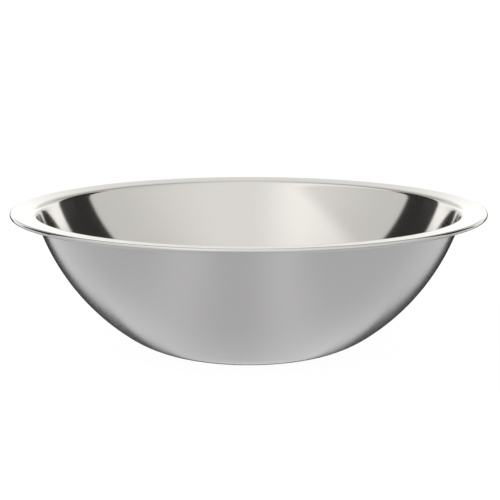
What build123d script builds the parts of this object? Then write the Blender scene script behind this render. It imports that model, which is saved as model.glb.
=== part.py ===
"""Stainless steel mixing bowl: one round sheet, pressed to shape, with its rim rolled into a hollow bead.

The bowl is a body of revolution about +Z and stands on the XY plane. Its origin is the centre of the
base at table level. All sizes are in millimetres. Radii and slopes are those of the sheet's upper
face, which is the inside of the bowl, the top of the flange and the outside of the rolled bead.
"""

from build123d import *
from math import acos, asin, atan2, cos, degrees, radians, sin, sqrt
import os

# Overall sizes
rim_diameter = 450.0  # over the rolled bead
height = 136.5  # from the table to the top of the bead
sheet = 0.8  # thickness of the steel, 22 gauge

# Base: a flat ring that the bowl stands on, round a disc that is pressed up clear of the table
base_diameter = 114.0  # outer edge of the standing ring, where the wall starts to rise
standing_ring = 7.5  # width of the ring
recess_lift = 1.0  # how far the disc inside it is raised
recess_bend = 8.0  # radius of both bends in the step round the disc

# Wall: a curve of one radius that rises from the base into a zone of a sphere centred on the axis
lower_wall_radius = 108.0

# Rim: a flange that rises gently outwards, ending in the bead
flange_width = 20.5  # from the bead's outer edge to the start of the shoulder bend
flange_slope = 4.5  # degrees from level
shoulder_radius = 5.0  # bend between the wall and the flange
bead_diameter = 4.5  # outside of the rolled bead
bead_gap = 0.5  # slot left between the sheet's cut edge and the underside of the flange


def sphere_between(lower_centre, lower_radius, shoulder_centre, shoulder):
    """Height of centre and radius of the sphere, centred on the axis, that joins two circles smoothly.

    The lower wall's circle touches the sphere from inside and the shoulder's circle from outside, so
    |lower_centre - centre| = R - lower_radius and |shoulder_centre - centre| = R + shoulder.
    Their difference is linear, R = start + rise * z, which leaves one quadratic in z.
    """
    radii = lower_radius + shoulder
    squares = shoulder_centre.dot(shoulder_centre) - lower_centre.dot(lower_centre)
    rise = (lower_centre.Y - shoulder_centre.Y) / radii
    start = (squares / radii + lower_radius - shoulder) / 2
    a = 1 - rise**2
    half_b = lower_centre.Y + rise * (start - lower_radius)
    c = lower_centre.dot(lower_centre) - (start - lower_radius) ** 2
    z = (half_b + sqrt(half_b**2 - a * c)) / a
    return z, start + rise * z


rim_radius = rim_diameter / 2
bead_radius = bead_diameter / 2
base_radius = base_diameter / 2

# The step round the raised disc is two equal and opposite bends, and the disc's flat fills what is left
step_turn = degrees(acos(1 - recess_lift / (2 * recess_bend)))
step_run = 2 * recess_bend * sin(radians(step_turn))
disc_radius = base_radius - standing_ring - step_run

# The flange's top line touches the bead's circle, and the shoulder's circle touches it from below
slope = radians(flange_slope)
along_flange = Vector(cos(slope), sin(slope))
up_from_flange = Vector(-sin(slope), cos(slope))
bead_centre = Vector(rim_radius - bead_radius, height - bead_radius)
flange_outer = bead_centre + up_from_flange * bead_radius
flange_length = (flange_outer.X - (rim_radius - flange_width)) / cos(slope)
flange_inner = flange_outer - along_flange * flange_length
shoulder_centre = flange_inner - up_from_flange * shoulder_radius

# The sphere that joins the lower wall to the shoulder, and the angles turned by each stretch of wall
lower_centre = Vector(base_radius, sheet + lower_wall_radius)
sphere_z, sphere_radius = sphere_between(lower_centre, lower_wall_radius, shoulder_centre, shoulder_radius)
lower_turn = degrees(atan2(lower_centre.X, sphere_z - lower_centre.Y))
wall_angle = degrees(atan2(shoulder_centre.X, sphere_z - shoulder_centre.Y))

# The bead turns until the sheet's cut edge is bead_gap short of the flange's underside
bead_turn = 270 + degrees(asin((bead_radius - sheet - bead_gap) / bead_radius))


def sheet_face(depth):
    """Draws one face of the sheet, from the axis to the cut edge, at a depth below its upper face.

    A bend to the left has its centre above the sheet, so its radius grows with depth, and a bend to
    the right has it below, so its radius shrinks. Returns the first and the last line of the face.
    """
    disc_height = sheet + recess_lift - depth
    disc = Line((0, disc_height), (disc_radius, disc_height))
    step_down = JernArc(disc @ 1, disc % 1, recess_bend - depth, -step_turn)
    step_out = JernArc(step_down @ 1, step_down % 1, recess_bend + depth, step_turn)
    ring = Line(step_out @ 1, (base_radius, sheet - depth))
    lower_wall = JernArc(ring @ 1, ring % 1, lower_wall_radius + depth, lower_turn)
    upper_wall = JernArc(lower_wall @ 1, lower_wall % 1, sphere_radius + depth, wall_angle - lower_turn)
    shoulder = JernArc(upper_wall @ 1, upper_wall % 1, shoulder_radius - depth, flange_slope - wall_angle)
    flange = Line(shoulder @ 1, flange_outer - up_from_flange * depth)
    bead = JernArc(flange @ 1, flange % 1, bead_radius - depth, -bead_turn)
    return disc, bead


with BuildPart() as bowl:
    with BuildSketch(Plane.XZ):
        with BuildLine():
            upper_disc, upper_bead = sheet_face(0)
            under_disc, under_bead = sheet_face(sheet)
            Line(upper_disc @ 0, under_disc @ 0)
            Line(upper_bead @ 1, under_bead @ 1)
        make_face()
    revolve(axis=Axis.Z)
bowl.part.label = "bowl"

print("the upper wall's sphere: radius", round(sphere_radius, 2), "and centre at Z", round(sphere_z, 2))
print("the wall meets the shoulder at", round(wall_angle, 2), "degrees from level")

os.makedirs("parts", exist_ok=True)
export_step(bowl.part, "parts/bowl.step")
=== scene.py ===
# %% [markdown]
# # A stainless steel mixing bowl
#
# The real bowl is one round sheet of steel. A press pushes the sheet down into a bowl, leaves a flange
# round its mouth, and rolls the flange's edge outwards and under into a hollow bead. It is polished
# bright inside and has a satin grind outside. This lesson draws the section of that sheet, turns it
# round the bowl's axis, gives it its two finishes, and sets up a small white studio round it.
#
# The bowl's size and place come from a fixed frame, which is loaded first. All lengths are in metres.

from math import acos, asin, atan2, ceil, cos, degrees, pi, radians, sin, sqrt

import bmesh
import bpy
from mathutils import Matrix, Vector


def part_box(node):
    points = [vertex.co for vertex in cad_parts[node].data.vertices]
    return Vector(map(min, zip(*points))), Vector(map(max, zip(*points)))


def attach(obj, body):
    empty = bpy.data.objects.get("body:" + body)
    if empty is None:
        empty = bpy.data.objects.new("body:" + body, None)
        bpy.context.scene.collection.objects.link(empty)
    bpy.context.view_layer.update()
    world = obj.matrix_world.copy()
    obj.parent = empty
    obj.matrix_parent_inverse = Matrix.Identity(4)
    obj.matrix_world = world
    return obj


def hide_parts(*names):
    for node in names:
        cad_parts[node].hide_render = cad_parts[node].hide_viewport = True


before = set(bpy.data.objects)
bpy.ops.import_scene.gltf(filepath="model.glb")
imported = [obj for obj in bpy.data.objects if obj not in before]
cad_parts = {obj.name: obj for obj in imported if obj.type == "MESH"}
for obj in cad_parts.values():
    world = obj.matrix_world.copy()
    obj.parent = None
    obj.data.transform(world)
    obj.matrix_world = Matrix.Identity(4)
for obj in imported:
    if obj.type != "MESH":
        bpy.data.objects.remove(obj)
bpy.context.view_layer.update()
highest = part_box("bowl")[1]
rim_radius = highest.x
rim_height = highest.z
print(f"the bowl is {2000 * rim_radius:.1f} mm over its rim and {1000 * rim_height:.1f} mm high")

# %% [markdown]
# ## The camera
#
# The camera looks slightly down on the bowl, so the mouth is a narrow ellipse and the inside shows its
# back half. A long lens keeps that ellipse nearly symmetrical. The camera is placed first, because
# everything else is judged through it. It is turned towards a point below the rim, rather than shifted.

# %% Camera
camera_elevation = radians(8.606)
camera_distance = 7 * rim_radius
lens_mm = 119.3
sensor_mm = 36
sight_range = 200
aim_right = 0.0012
aim_height = 0.7 * rim_height

camera = bpy.data.objects.new("camera", bpy.data.cameras.new("camera"))
bpy.context.scene.collection.objects.link(camera)
camera.data.lens = lens_mm
camera.data.sensor_width = sensor_mm
camera.data.clip_end = sight_range
rim_centre = Vector((0, 0, rim_height))
back = Vector((0, -cos(camera_elevation), sin(camera_elevation)))
camera.location = rim_centre + camera_distance * back
aim = Vector((aim_right, 0, aim_height))
camera.rotation_euler = (aim - camera.location).to_track_quat("-Z", "Y").to_euler()
bpy.context.scene.camera = camera
camera_tilt = degrees(camera_elevation)
print(f"the camera stands {camera_distance:.2f} m away, {camera_tilt:.1f} degrees above the rim")

# %% [markdown]
# ## The section of the sheet
#
# A body of revolution is fully told by one half of its section, so that is drawn first, as a line of
# points (r, 0, z). Pressed sheet has no sharp corners: its section is straight runs and arcs that join
# smoothly. So the line is walked like a path, with a position and a heading, and each bend says its
# radius and how far it turns. A bend to the left turns by a positive angle.
#
# The walk needs very few sizes. The sphere that most of the wall belongs to isn't chosen: it is the
# only one, centred on the axis, that joins the rounded bottom to the shoulder without a kink.

# %% Sizes of the sheet
sheet = 0.0008
base_radius = 0.057
standing_ring = 0.0075
recess_lift = 0.001
recess_bend = 0.008
lower_wall_radius = 0.108
flange_width = 0.0205
flange_slope = radians(4.5)
shoulder_radius = 0.005
bead_radius = 0.00225
bead_gap = 0.0005
print(f"a sheet {1000 * sheet:.1f} mm thick, with a bead {2000 * bead_radius:.1f} mm thick")
print(f"and a flange {1000 * flange_width:.1f} mm wide")

# %% The sphere that joins the rounded bottom to the shoulder
along_flange = Vector((cos(flange_slope), sin(flange_slope)))
up_from_flange = Vector((-sin(flange_slope), cos(flange_slope)))
bead_centre = Vector((rim_radius - bead_radius, rim_height - bead_radius))
flange_outer = bead_centre + bead_radius * up_from_flange
flange_length = (flange_outer.x - (rim_radius - flange_width)) / cos(flange_slope)
shoulder_centre = flange_outer - flange_length * along_flange - shoulder_radius * up_from_flange
lower_centre = Vector((base_radius, sheet + lower_wall_radius))


def sphere_between(lower_centre, lower_radius, shoulder_centre, shoulder):
    """Height of centre and radius R of the sphere that touches the lower circle from outside and the
    shoulder's from inside: R is start + rise * z, which leaves one quadratic in z."""
    radii = lower_radius + shoulder
    squares = shoulder_centre.dot(shoulder_centre) - lower_centre.dot(lower_centre)
    rise = (lower_centre.y - shoulder_centre.y) / radii
    start = (squares / radii + lower_radius - shoulder) / 2
    a = 1 - rise**2
    half_b = lower_centre.y + rise * (start - lower_radius)
    c = lower_centre.dot(lower_centre) - (start - lower_radius) ** 2
    z = (half_b + sqrt(half_b**2 - a * c)) / a
    return z, start + rise * z


sphere_z, sphere_radius = sphere_between(lower_centre, lower_wall_radius, shoulder_centre, shoulder_radius)
print(f"the wall's sphere has a radius of {1000 * sphere_radius:.1f} mm")

# %% A path of runs and bends
facet = 0.003
widest_turn = radians(12)


class Path:
    """A line of points in the (r, z) plane, walked from a start with a heading."""

    def __init__(self, start, heading=0.0):
        self.points = [Vector(start)]
        self.heading = heading

    def run(self, length, pieces=None):
        """A straight run, in pieces of at most one facet, or in a number of pieces."""
        start = self.points[-1]
        pieces = pieces or ceil(length / facet)
        ahead = Vector((cos(self.heading), sin(self.heading)))
        self.points += [start + ahead * (length * k / pieces) for k in range(1, pieces + 1)]

    def bend(self, radius, turn):
        """An arc that leaves smoothly, to the left for a positive turn."""
        side = 1 if turn > 0 else -1
        inward = Vector((-sin(self.heading), cos(self.heading)))
        centre = self.points[-1] + side * radius * inward
        pieces = max(ceil(abs(turn) * radius / facet), ceil(abs(turn) / widest_turn))
        for k in range(1, pieces + 1):
            h = self.heading + turn * k / pieces
            self.points.append(centre + side * radius * Vector((sin(h), -cos(h))))
        self.heading += turn


# %% Both faces of the sheet
step_turn = acos(1 - recess_lift / (2 * recess_bend))
disc_radius = base_radius - standing_ring - 2 * recess_bend * sin(step_turn)
lower_turn = atan2(lower_centre.x, sphere_z - lower_centre.y)
wall_angle = atan2(shoulder_centre.x, sphere_z - shoulder_centre.y)
bead_turn = 1.5 * pi + asin((bead_radius - sheet - bead_gap) / bead_radius)
disc_pieces = 6


def sheet_face(depth):
    """One face of the sheet, from the axis to its cut edge, at a depth below its upper face."""
    face = Path((0, sheet + recess_lift - depth))
    face.run(disc_radius, disc_pieces)
    face.bend(recess_bend - depth, -step_turn)
    face.bend(recess_bend + depth, step_turn)
    face.run(standing_ring)
    face.bend(lower_wall_radius + depth, lower_turn)
    face.bend(sphere_radius + depth, wall_angle - lower_turn)
    face.bend(shoulder_radius - depth, flange_slope - wall_angle)
    face.run(flange_length)
    face.bend(bead_radius - depth, -bead_turn)
    return face


upper_face = sheet_face(0)
under_face = sheet_face(sheet)
print(f"{len(upper_face.points)} points along each face")

# %% [markdown]
# The two faces meet at the cut edge, which a press tool leaves slightly rounded, so a half circle as
# wide as the sheet is thick closes the section there. At the axis the section stays open: that end
# becomes the middle of the bottom. Each point also keeps how far along the sheet it lies, which the
# grinding lines will follow, and whether it is bright. The satin grind of the outside reaches up over
# the bead to its widest point, where the polish of the inside ends.

# %% The section as a line of points
edge = Path(upper_face.points[-1], upper_face.heading)
edge.bend(sheet / 2, -pi)
section_points = upper_face.points + edge.points[1:-1] + under_face.points[::-1]
bright_count = 1 + max(range(len(upper_face.points)), key=lambda k: upper_face.points[k].x)

runs = [0.0]
for here, there in zip(section_points, section_points[1:]):
    runs.append(runs[-1] + (there - here).length)

section_mesh = bpy.data.meshes.new("bowl_section")
links = [(k, k + 1) for k in range(len(section_points) - 1)]
section_mesh.from_pydata([(p.x, 0, p.y) for p in section_points], links, [])
section_mesh.attributes.new("run", "FLOAT", "POINT").data.foreach_set("value", runs)
bright = [float(k < bright_count) for k in range(len(section_points))]
section_mesh.attributes.new("bright", "FLOAT", "POINT").data.foreach_set("value", bright)
section = bpy.data.objects.new("bowl_section", section_mesh)
bpy.context.scene.collection.objects.link(section)
print(f"{len(section_points)} points in the section, {1000 * runs[-1]:.0f} mm round")

# %% [markdown]
# ## Two finishes on one sheet
#
# Steel is all reflection, so its finish is told by roughness and by direction. Polishing and grinding
# wheels run round a turning bowl, so their fine lines go round it too, and they spread each
# reflection across the lines, up and down the wall. The shader does that with anisotropy, turned a
# quarter from the tangent that goes round the axis.
#
# The lines themselves are noise that is stretched: it changes fast along the sheet and slowly round
# the bowl. The position along the sheet comes from the section's own distances, so the lines have one
# width everywhere and no seam.

# %% Helpers for nodes
def add_node(tree, kind, settings=None, **sockets):
    """The outputs of a new node. Settings are the node's own choices. Each socket gets a value, or an
    output that is linked to it. Spaces in a name are written _, and _0 is the first socket."""
    node = tree.nodes.new(kind)
    for key, value in (settings or {}).items():
        setattr(node, key, value)
    for name, value in sockets.items():
        key = int(name[1:]) if name[1:].isdigit() else name.replace("_", " ")
        if isinstance(value, bpy.types.NodeSocket):
            tree.links.new(value, node.inputs[key])
        else:
            node.inputs[key].default_value = value
    return node.outputs


def calculate(tree, operation, a, b=0.0, c=0.0):
    """A Math node. Each of a, b and c is a number or an output."""
    return add_node(tree, "ShaderNodeMath", {"operation": operation}, _0=a, _1=b, _2=c)[0]


def times(tree, *values):
    """The product of two or more values."""
    product = values[0]
    for value in values[1:]:
        product = calculate(tree, "MULTIPLY", product, value)
    return product


def ease(tree, value, start, end, before=0.0, after=1.0):
    """before until value reaches start, after beyond end, and smooth between them."""
    smooth = {"interpolation_type": "SMOOTHSTEP"}
    ends = {"From_Min": start, "From_Max": end, "To_Min": before, "To_Max": after}
    return add_node(tree, "ShaderNodeMapRange", smooth, Value=value, **ends)["Result"]


def split(tree, vector):
    """The X, Y and Z of a vector."""
    return add_node(tree, "ShaderNodeSeparateXYZ", _0=vector)


print("node helpers ready")


# %% Noise for lines and smudges
line_grain = 0.65
smudge_size = 0.07


def lines_round(tree, lines_per_metre, waviness):
    """Noise from 0 to 1 that is drawn out round the bowl. Waviness is how much it changes round it."""
    place = split(tree, add_node(tree, "ShaderNodeTexCoord")["Object"])
    run = add_node(tree, "ShaderNodeAttribute", {"attribute_name": "run"})["Fac"]
    drawn_out = add_node(
        tree,
        "ShaderNodeCombineXYZ",
        X=times(tree, place["X"], waviness),
        Y=times(tree, place["Y"], waviness),
        Z=times(tree, run, lines_per_metre),
    )[0]
    grain = {"Scale": 1.0, "Detail": 2.0, "Roughness": line_grain}
    return add_node(tree, "ShaderNodeTexNoise", Vector=drawn_out, **grain)["Fac"]


def smudges(tree):
    """Soft patches, from 0 to 1."""
    place = add_node(tree, "ShaderNodeTexCoord")["Object"]
    grain = {"Scale": 1 / smudge_size, "Detail": 3.0, "Roughness": 0.5}
    return add_node(tree, "ShaderNodeTexNoise", Vector=place, **grain)["Fac"]


def swing(tree, noise, share):
    """A factor about 1 that the noise moves down and up by a share."""
    return calculate(tree, "MULTIPLY_ADD", noise, 2 * share, 1 - share)


print("noise ready")

# %% [markdown]
# A bowl is pushed about on tables, so the lowest few millimetres of its satin outside are rubbed
# smoother than the rest. That foot of the wall mirrors more sharply, as the finish below allows for.

# %% Steel
foot_bottom, foot_top = 0.006, 0.013
fine_lines, fine_waviness = 2600, 0.7
broad_lines, broad_waviness = 330, 0.5
fine_part = 0.7
groove_tint = 0.93


def steel(name, tint, roughness, anisotropy, line_height, line_share, smudge_share, foot_share=1.0):
    """Polished or ground stainless steel.

    roughness is its middle value. line_share and smudge_share say how much the lines and the smudges
    change it, and line_height is how deep the lines are, in metres. foot_share is how rough the foot
    of the wall is, as a share of the rest."""
    material = bpy.data.materials.new(name)
    material.use_nodes = True
    tree = material.node_tree
    shader = tree.nodes["Principled BSDF"].inputs
    shader["Metallic"].default_value = 1.0
    shader["Anisotropic"].default_value = anisotropy
    shader["Anisotropic Rotation"].default_value = 0.25
    round_axis = {"direction_type": "RADIAL", "axis": "Z"}
    tree.links.new(add_node(tree, "ShaderNodeTangent", round_axis)[0], shader["Tangent"])

    fine = lines_round(tree, fine_lines, fine_waviness)
    broad = lines_round(tree, broad_lines, broad_waviness)
    broad_rest = times(tree, broad, 1 - fine_part)
    lines = calculate(tree, "MULTIPLY_ADD", fine, fine_part, broad_rest)
    height = split(tree, add_node(tree, "ShaderNodeTexCoord")["Object"])["Z"]
    varied = times(
        tree,
        swing(tree, lines, line_share),
        swing(tree, smudges(tree), smudge_share),
        ease(tree, height, foot_bottom, foot_top, foot_share, 1.0),
        roughness,
    )
    tree.links.new(varied, shader["Roughness"])

    in_groove = (*[groove_tint * part for part in tint], 1)
    colours = {"A": in_groove, "B": (*tint, 1)}
    colour = add_node(tree, "ShaderNodeMix", {"data_type": "RGBA"}, Factor=lines, **colours)["Result"]
    tree.links.new(colour, shader["Base Color"])

    bump = add_node(tree, "ShaderNodeBump", Strength=1.0, Distance=line_height, Height=lines)
    tree.links.new(bump["Normal"], shader["Normal"])
    return material


polished = steel(
    "polished_inside",
    tint=(0.66, 0.65, 0.635),
    roughness=0.10,
    anisotropy=0.5,
    line_height=0.0000006,
    line_share=0.25,
    smudge_share=0.15,
)
satin = steel(
    "satin_outside",
    tint=(0.482, 0.476, 0.47),
    roughness=0.21,
    anisotropy=1.0,
    line_height=0.0000015,
    line_share=0.25,
    smudge_share=0.1,
    foot_share=0.45,
)
print("finishes:", polished.name, "and", satin.name)

# %% [markdown]
# ## Turning the section round the axis
#
# The Screw modifier could turn the section too, but the map, the lines' distances and the two finishes
# would have to be added afterwards. A small Geometry Nodes tree does it all in one go: a flat grid has
# one column for each step round the bowl and one row for each point of the section, and every grid
# point is moved to where its row and column say. Merging then closes the seam and the two poles. The
# tree's inputs are the number of steps, how near two points must be to merge, and the two finishes.

# %% A tree and its inputs
tree = bpy.data.node_groups.new("turn_section_round_axis", "GeometryNodeTree")
tree.interface.new_socket(name="Geometry", in_out="OUTPUT", socket_type="NodeSocketGeometry")
tree_inputs = {
    "Geometry": "NodeSocketGeometry",
    "Steps Round": "NodeSocketInt",
    "Merge Distance": "NodeSocketFloat",
    "Bright Finish": "NodeSocketMaterial",
    "Satin Finish": "NodeSocketMaterial",
}
for name, kind in tree_inputs.items():
    tree.interface.new_socket(name=name, in_out="INPUT", socket_type=kind)
given = tree.nodes.new("NodeGroupInput").outputs
result = tree.nodes.new("NodeGroupOutput").inputs
print(f"the tree has {len(tree_inputs)} inputs")


# %% The grid, and which step and point each grid point stands for
def whole_number(operation, a, b):
    """An Integer Math node."""
    return add_node(tree, "FunctionNodeIntegerMath", {"operation": operation}, _0=a, _1=b)[0]


section_shape = given["Geometry"]
as_mesh = {"component": "MESH"}
rows = add_node(tree, "GeometryNodeAttributeDomainSize", as_mesh, Geometry=section_shape)[0]
columns = whole_number("ADD", given["Steps Round"], 1)
unit = {"Size_X": 1.0, "Size_Y": 1.0}
grid = add_node(tree, "GeometryNodeMeshGrid", Vertices_X=columns, Vertices_Y=rows, **unit)[0]
index = add_node(tree, "GeometryNodeInputIndex")[0]
column = whole_number("DIVIDE_FLOOR", index, rows)
row = whole_number("FLOORED_MODULO", index, rows)
share = calculate(tree, "DIVIDE", column, given["Steps Round"])
angle = times(tree, share, 2 * pi)
print(f"the grid takes {len(tree.nodes)} nodes")

# %% [markdown]
# Each grid point now asks the section, by its row, for three things: where the point lies, how far
# along the sheet that is, and whether it is bright. The last two are kept on the surface by name, so
# that the finishes can read them.


# %% Values of the section, at each grid point's row
def of_section(data_type, value):
    """A value of the section at this grid point's row."""
    kind = {"data_type": data_type, "domain": "POINT"}
    at_row = {"Geometry": section_shape, "Value": value, "Index": row}
    return add_node(tree, "GeometryNodeSampleIndex", kind, **at_row)[0]


def named(name):
    """A named value of the section."""
    return add_node(tree, "GeometryNodeInputNamedAttribute", {"data_type": "FLOAT"}, Name=name)[0]


where = split(tree, of_section("FLOAT_VECTOR", add_node(tree, "GeometryNodeInputPosition")[0]))
along = of_section("FLOAT", named("run"))
is_bright = of_section("FLOAT", named("bright"))
x = times(tree, where["X"], calculate(tree, "COSINE", angle))
y = times(tree, where["X"], calculate(tree, "SINE", angle))
turned = add_node(tree, "ShaderNodeCombineXYZ", X=x, Y=y, Z=where["Z"])[0]
flat_map = add_node(tree, "ShaderNodeCombineXYZ", X=share, Y=along)[0]
print(f"with the section's values it has {len(tree.nodes)} nodes")


# %% The turned shape
def shaped(kind, shape, settings=None, **sockets):
    """The shape after one more node."""
    return add_node(tree, kind, settings, Geometry=shape, **sockets)[0]


def stored(shape, name, data_type, domain, value):
    """The shape with one more named value."""
    kind = {"data_type": data_type, "domain": domain}
    return shaped("GeometryNodeStoreNamedAttribute", shape, kind, Name=name, Value=value)


shape = shaped("GeometryNodeSetPosition", grid, Position=turned)
shape = stored(shape, "UVMap", "FLOAT2", "CORNER", flat_map)
shape = stored(shape, "run", "FLOAT", "POINT", along)
shape = stored(shape, "bright", "FLOAT", "POINT", is_bright)
shape = shaped("GeometryNodeMergeByDistance", shape, Distance=given["Merge Distance"])
shape = shaped("GeometryNodeSetShadeSmooth", shape)
shape = shaped("GeometryNodeRealizeInstances", shape)
above_half = {"data_type": "FLOAT", "operation": "GREATER_THAN"}
chosen = add_node(tree, "FunctionNodeCompare", above_half, A=named("bright"), B=0.5)[0]
shape = shaped("GeometryNodeSetMaterial", shape, Material=given["Satin Finish"])
shape = shaped("GeometryNodeSetMaterial", shape, Selection=chosen, Material=given["Bright Finish"])
tree.links.new(shape, result["Geometry"])
print(f"the tree has {len(tree.nodes)} nodes")

# %% [markdown]
# A modifier's inputs are set by each socket's identifier, before the object is first evaluated. The
# evaluated shape is then copied into a plain mesh, so the finished bowl doesn't need the tree.

# %% The bowl
inputs = {
    "Steps Round": 360,
    "Merge Distance": 0.00001,
    "Bright Finish": polished,
    "Satin Finish": satin,
}
turning = section.modifiers.new("turning", "NODES")
turning.node_group = tree
for item in tree.interface.items_tree:
    if item.in_out == "INPUT" and item.name in inputs:
        turning[item.identifier] = inputs[item.name]

evaluated = section.evaluated_get(bpy.context.evaluated_depsgraph_get())
bowl_mesh = bpy.data.meshes.new_from_object(evaluated)
section.modifiers.remove(turning)
bpy.data.objects.remove(section)
bowl_mesh.name = "mixing_bowl"
bowl = bpy.data.objects.new("mixing_bowl", bowl_mesh)
bpy.context.scene.collection.objects.link(bowl)
print(f"{len(bowl_mesh.vertices)} points and {len(bowl_mesh.polygons)} faces")

# %% [markdown]
# A closed skin holds a volume, and its sign says which way the faces point. The check below adds up
# the small pyramids from the origin to each face. If the sum is negative, the skin is inside out and
# is turned. The volume of steel is a good test of the whole walk: a pressed sheet of this size and
# thickness has about 190 cubic centimetres.

# %% Which way the faces point
def measure(mesh):
    """Volume in cubic metres, and how many edges don't have exactly two faces."""
    b = bmesh.new()
    b.from_mesh(mesh)
    volume = b.calc_volume(signed=True)
    loose = sum(len(e.link_faces) != 2 for e in b.edges)
    b.free()
    return volume, loose


volume, open_edges = measure(bowl_mesh)
if volume < 0:
    bowl_mesh.flip_normals()
    volume, open_edges = measure(bowl_mesh)
print(f"{1e6 * volume:.1f} cubic centimetres of steel, {open_edges} open edges")

# %% The bowl takes its place
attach(bowl, "root")
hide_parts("bowl")

# %% [markdown]
# ## The studio
#
# Polished steel shows whatever stands round it, so the studio is the other half of the finish. The
# bowl stands on a pale floor in a white tent. The tent could be built of lit panels, but a world that
# is painted by direction is quicker to change and has no edges to hide. Two numbers place a direction:
# the angle round the bowl, counted from straight behind it, and the height above the horizon.
#
# Behind the bowl is a backdrop, brightest a little above the horizon, which the flange mirrors, and
# dimmer higher up. In front is a broad soft light, with a brighter one high on the left for the pale
# patch inside. Two dark gaps are what the polished wall shows as two dark bands.

# %% Directions
world = bpy.data.worlds.new("tent")
bpy.context.scene.world = world
world.use_nodes = True
sky = world.node_tree
sky.nodes.clear()
direction = add_node(sky, "ShaderNodeTexCoord")["Generated"]
towards = split(sky, direction)
height = towards["Z"]
round_angle = calculate(sky, "ABSOLUTE", calculate(sky, "ARCTAN2", towards["X"], towards["Y"]))
horizon_blur = 0.01
below = ease(sky, height, -horizon_blur, horizon_blur, 1.0, 0.0)


def dimmed(value, share, depth=1.0):
    """The value, which loses a depth of itself where share is 1."""
    return times(sky, value, calculate(sky, "MULTIPLY_ADD", share, -depth, 1.0))


def mixed(share, start, end):
    """start where share is 0, and end where it is 1."""
    return calculate(sky, "ADD", dimmed(start, share), times(sky, end, share))


print("directions ready")

# %% The backdrop and its darker top
horizon_light, backdrop_light = 0.86, 1.36
glow_height = sin(radians(7))
upper_light = 0.66
upper_start, upper_end = sin(radians(9)), sin(radians(16))
top_shade = 0.4
top_start, top_end = 0.35, 0.5
shade_inner, shade_outer = 0.08, 0.3

backdrop = times(
    sky,
    ease(sky, height, 0.0, glow_height, horizon_light, backdrop_light),
    ease(sky, height, upper_start, upper_end, 1.0, upper_light),
)
aside = calculate(sky, "ABSOLUTE", towards["X"])
shade = times(
    sky,
    ease(sky, height, top_start, top_end, 0.0, top_shade),
    ease(sky, aside, shade_inner, shade_outer),
)
backdrop = dimmed(backdrop, shade)
print(f"the backdrop is {backdrop_light:.2f} bright at its brightest")

# %% The front light and the light at its side
beside_light, front_light = 0.85, 1.09
beside_angle, front_angle = radians(85), radians(162)
side_light_more = 0.30
side_light_edge = (0.671, -0.006, 0.741)
edge_start, edge_end = -0.07, 0.10
side_light_full, side_light_none = -0.50, -0.02
backdrop_end, front_start = radians(60), radians(61)

front = ease(sky, round_angle, beside_angle, front_angle, beside_light, front_light)
dot = {"operation": "DOT_PRODUCT"}
past_edge = add_node(sky, "ShaderNodeVectorMath", dot, _0=direction, _1=side_light_edge)["Value"]
side_light = times(
    sky,
    ease(sky, past_edge, edge_start, edge_end, 0.0, side_light_more),
    ease(sky, towards["X"], side_light_full, side_light_none, 1.0, 0.0),
)
front = calculate(sky, "ADD", front, side_light)
tent = mixed(ease(sky, round_angle, backdrop_end, front_start), backdrop, front)
print(f"the front is {front_light:.2f} bright, and {side_light_more:.2f} more at its side light")

# %% The two dark gaps
gap_start, gap_end = radians(46), radians(75)
gap_edge = radians(1.2)
gap_top, gap_top_end = sin(radians(38)), sin(radians(42))
gap_depth = 0.95

gap = times(
    sky,
    ease(sky, round_angle, gap_start - gap_edge, gap_start + gap_edge),
    ease(sky, round_angle, gap_end - gap_edge, gap_end + gap_edge, 1.0, 0.0),
    ease(sky, height, gap_top, gap_top_end, 1.0, 0.0),
)
tent = dimmed(tent, gap, gap_depth)
print(f"the tent has two gaps, each {degrees(gap_end - gap_start):.0f} degrees wide")

# %% [markdown]
# ## Below the horizon
#
# The lower half of the world is the lit table round the bowl, as the outside reflects it. A low dark
# screen stands straight behind the bowl. Only steel that is nearly edge-on to the camera mirrors what
# is behind it, so the screen draws the thin dark line round the wall. It could be painted on the
# steel, but then it would stay in place when the camera moves.

# %% The ground and the screen
screen_side, screen_side_end = radians(30), radians(32)
foot_middle, foot_side = -0.46, -0.60
foot_turn, foot_turn_end = radians(3), radians(15)
foot_blur = 0.02
screen_depth = 0.98
middle_left = 0.1
ground_middle, middle_start, middle_end = 0.85, 0.05, 0.35
ground_side, side_start, side_end = 0.86, 0.38, 0.62
ground_back, back_start, back_end = 1.15, 0.1, 0.6

screen_foot = ease(sky, round_angle, foot_turn, foot_turn_end, foot_middle, foot_side)
above_foot = calculate(sky, "SUBTRACT", height, screen_foot)
screen = times(
    sky,
    ease(sky, round_angle, screen_side, screen_side_end, 1.0, 0.0),
    ease(sky, above_foot, -foot_blur, foot_blur),
)
off_middle = calculate(sky, "ABSOLUTE", calculate(sky, "ADD", towards["X"], middle_left))
ground = times(
    sky,
    ease(sky, off_middle, middle_start, middle_end, ground_middle, 1.0),
    ease(sky, off_middle, side_start, side_end, 1.0, ground_side),
    ease(sky, towards["Y"], back_start, back_end, 1.0, ground_back),
)
ground = dimmed(ground, screen, screen_depth)
print(f"the screen is {degrees(2 * screen_side):.0f} degrees wide")

# %% [markdown]
# The tent's light is a little warm and the table's a little cool. The camera itself sees plain white
# instead of the tent, which the Light Path node sorts out.

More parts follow.
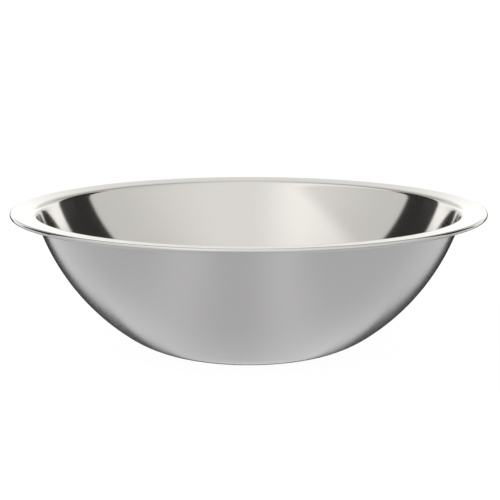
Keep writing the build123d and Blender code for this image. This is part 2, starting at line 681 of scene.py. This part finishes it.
# %% The world's light
tent_colour = (1.0, 0.985, 0.955, 1)
ground_colour = (0.99, 0.99, 1.0, 1)
white = {"Color": (1, 1, 1, 1), "Strength": 1.2}

colours = {"A": tent_colour, "B": ground_colour}
colour = add_node(sky, "ShaderNodeMix", {"data_type": "RGBA"}, Factor=below, **colours)["Result"]
brightness = mixed(below, tent, ground)
lit = add_node(sky, "ShaderNodeBackground", Color=colour, Strength=brightness)[0]
plain = add_node(sky, "ShaderNodeBackground", **white)[0]
by_camera = add_node(sky, "ShaderNodeLightPath")["Is Camera Ray"]
choice = add_node(sky, "ShaderNodeMixShader", _0=by_camera, _1=lit, _2=plain)[0]
add_node(sky, "ShaderNodeOutputWorld", Surface=choice)
print(f"the world has {len(sky.nodes)} nodes")

# %% [markdown]
# ## The floor
#
# The floor is one large plain sheet just under the base. It glows almost white, so that no horizon
# shows, and takes a faint shade where the bowl stands. Reflections don't see it, because the ground
# painted on the world already stands for it there, with the screen.

# %% The floor
floor_half = 60
floor_drop = 0.0002
paper_grey = 0.1
paper_glow = 0.95

corners = [(-1, -1), (1, -1), (1, 1), (-1, 1)]
floor_points = [(floor_half * a, floor_half * b, -floor_drop) for a, b in corners]
floor_mesh = bpy.data.meshes.new("floor")
floor_mesh.from_pydata(floor_points, [], [(0, 1, 2, 3)])
floor = bpy.data.objects.new("floor", floor_mesh)
bpy.context.scene.collection.objects.link(floor)

paper = bpy.data.materials.new("white_floor")
paper.use_nodes = True
paper_shader = paper.node_tree.nodes["Principled BSDF"].inputs
paper_shader["Base Color"].default_value = (paper_grey, paper_grey, paper_grey, 1)
paper_shader["Roughness"].default_value = 1.0
paper_shader["Specular IOR Level"].default_value = 0.0
paper_shader["Emission Color"].default_value = (1, 1, 1, 1)
paper_shader["Emission Strength"].default_value = paper_glow
floor_mesh.materials.append(paper)
floor.visible_glossy = False
print(f"the floor is {2 * floor_half} m wide")

# %% Colours as they are
bpy.context.scene.view_settings.view_transform = "Standard"
print("view transform:", bpy.context.scene.view_settings.view_transform)
